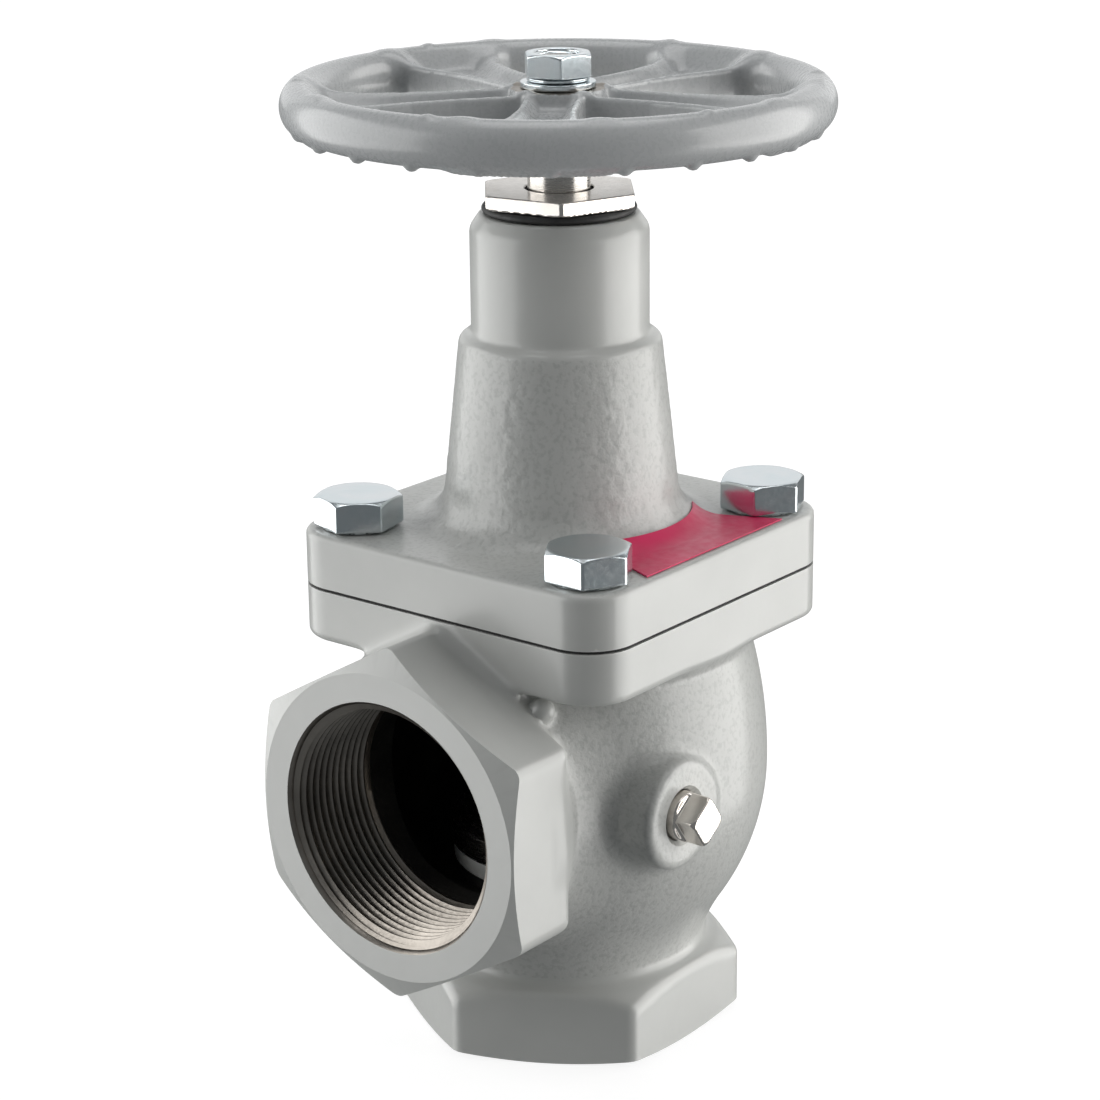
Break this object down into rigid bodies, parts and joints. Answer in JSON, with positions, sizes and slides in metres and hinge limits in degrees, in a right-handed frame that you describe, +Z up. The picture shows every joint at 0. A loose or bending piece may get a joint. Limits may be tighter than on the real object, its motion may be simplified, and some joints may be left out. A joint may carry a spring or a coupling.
{
  "type": "angle-pattern globe valve",
  "caption": "Hand-operated angle globe valve: grey cast body, hexagonal threaded side and bottom ports, bolted bonnet, rising stem and spoked handwheel.",
  "frame": {"origin": "on the stem's axis, in the plane of the bottom port's face", "axes": "+Z up along the stem, from the bottom port to the handwheel; +X out of the side port; +Y out of the tapped boss on the body's side"},
  "size_m": [0.1332, 0.1304, 0.2421],
  "materials": {
    "body_paint": "light grey semi-gloss enamel over an iron casting",
    "wheel_paint": "mid grey semi-gloss enamel over an iron casting",
    "zinc_plate": "bright zinc plate",
    "nickel_plate": "bright nickel plate",
    "stem_steel": "ground and polished steel",
    "black_rubber": "black moulded rubber",
    "gasket_sheet": "dark compressed gasket sheet",
    "packing": "dark graphite and polymer packing",
    "seat_plastic": "white fluoropolymer",
    "label": "plain crimson label plate"
  },
  "bodies": {
    "valve": {"valve_body": "body_paint", "bonnet": "body_paint", "bonnet_gasket": "gasket_sheet", "bonnet_bolt_1": "zinc_plate", "bonnet_bolt_2": "zinc_plate", "bonnet_bolt_3": "zinc_plate", "bonnet_bolt_4": "zinc_plate", "id_label": "label", "boss_plug": "nickel_plate", "gland_nut": "nickel_plate", "gland_seal": "black_rubber", "stem_wiper": "black_rubber", "packing_washer": "stem_steel", "packing_ring_1": "packing", "packing_ring_2": "packing", "packing_ring_3": "packing", "packing_follower": "stem_steel"},
    "lift": {"thrust_pad": "stem_steel"},
    "stem": {"stem": "stem_steel", "stem_clip": "stem_steel", "handwheel": "wheel_paint", "wheel_washer": "zinc_plate", "wheel_lock_washer": "zinc_plate", "wheel_nut": "zinc_plate"},
    "disc": {"disc_holder": "stem_steel", "seat_ring": "seat_plastic", "disc_retainer": "stem_steel", "disc_screw": "stem_steel", "swivel_nut": "stem_steel"}
  },
  "joints": [
    {"name": "stem_lift", "type": "slide", "parent": "valve", "child": "lift", "axis": [0, 0, 1], "range_m": [0, 0.0178]},
    {"name": "handwheel_turn", "type": "hinge", "parent": "lift", "child": "stem", "pos_m": [0, 0, 0.2307], "axis": [0, 0, 1], "range_deg": [0, 1260]},
    {"name": "disc_swivel", "type": "hinge", "parent": "lift", "child": "disc", "pos_m": [0, 0, 0.05], "axis": [0, 0, 1], "continuous": true}
  ],
  "couplings": [
    {"joint": "stem_lift", "follows": "handwheel_turn", "m_per_rad": 0.00080851}
  ]
}
